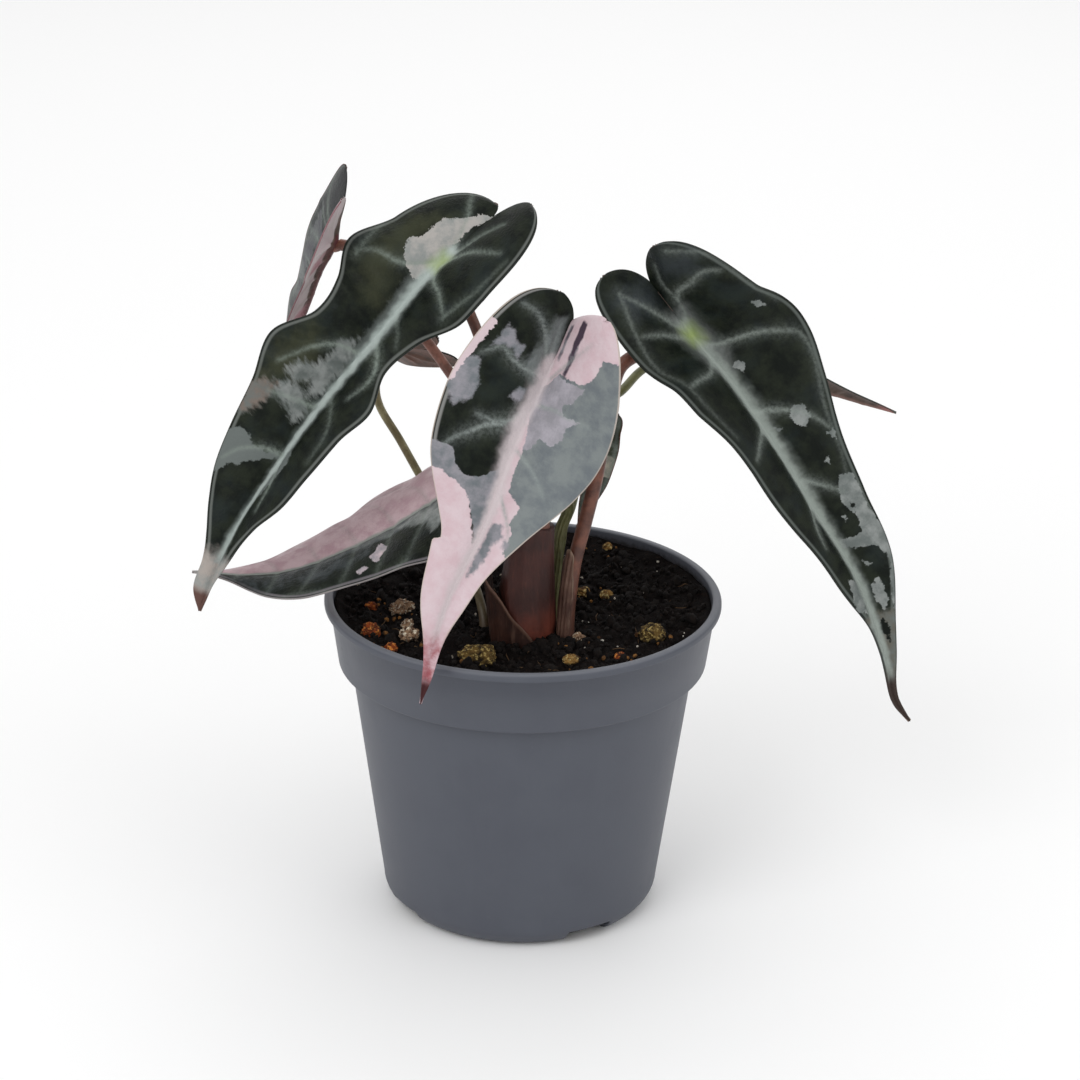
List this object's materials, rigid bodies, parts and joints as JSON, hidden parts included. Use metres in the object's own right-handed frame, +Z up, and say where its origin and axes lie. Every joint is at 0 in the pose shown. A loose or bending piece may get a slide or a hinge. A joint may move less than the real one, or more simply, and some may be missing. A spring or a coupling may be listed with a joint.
{
  "type": "potted alocasia",
  "caption": "Young pink-variegated alocasia with arrow-shaped leaves on slim petioles, rooted in dark soil in a round plastic nursery pot.",
  "frame": {"origin": "centre of the pot's base at the height of its feet", "axes": "+Z up along the pot's axis, -Y towards the front view, +X to the right"},
  "size_m": [0.2142, 0.1335, 0.2273],
  "materials": {
    "pot_plastic": "satin moulded",
    "soil": "rough crumbly peat",
    "stem_sheath": "satin, ribbed along its length",
    "left_leaf_blade": "waxy satin",
    "front_leaf_blade": "waxy satin",
    "right_leaf_blade": "waxy satin",
    "low_leaf_blade": "waxy satin",
    "upper_leaf_blade": "waxy satin",
    "rear_leaf_blade": "waxy satin",
    "side_leaf_blade": "waxy satin",
    "young_leaf_blade": "waxy satin",
    "petiole_red": "satin",
    "petiole_green": "satin",
    "grain_lava": "rough",
    "grain_pumice": "rough",
    "grain_bark": "rough, fibrous",
    "grain_feed": "dull, coated"
  },
  "bodies": {
    "root": {"pot": "pot_plastic", "soil": "soil", "stem_base": "stem_sheath", "left_leaf_blade": "left_leaf_blade", "left_leaf_petiole": "petiole_red", "front_leaf_blade": "front_leaf_blade", "front_leaf_petiole": "petiole_red", "right_leaf_blade": "right_leaf_blade", "right_leaf_petiole": "petiole_red", "low_leaf_blade": "low_leaf_blade", "low_leaf_petiole": "petiole_red", "upper_leaf_blade": "upper_leaf_blade", "upper_leaf_petiole": "petiole_red", "rear_leaf_blade": "rear_leaf_blade", "rear_leaf_petiole": "petiole_green", "side_leaf_blade": "side_leaf_blade", "side_leaf_petiole": "petiole_green", "young_leaf_blade": "young_leaf_blade", "young_leaf_petiole": "petiole_green", "grain_lava_front_left": "grain_lava", "grain_lava_left": "grain_lava", "grain_lava_mossy": "grain_lava", "grain_pumice_pink": "grain_pumice", "grain_pumice_white": "grain_pumice", "grain_pumice_low": "grain_pumice", "grain_bark_front": "grain_bark", "grain_feed_rear": "grain_feed", "grain_feed_middle": "grain_feed", "grain_feed_side": "grain_feed", "grain_pumice_small": "grain_pumice", "grain_feed_front": "grain_feed", "grain_bark_right": "grain_bark", "grain_lava_right": "grain_lava"}
  },
  "joints": []
}
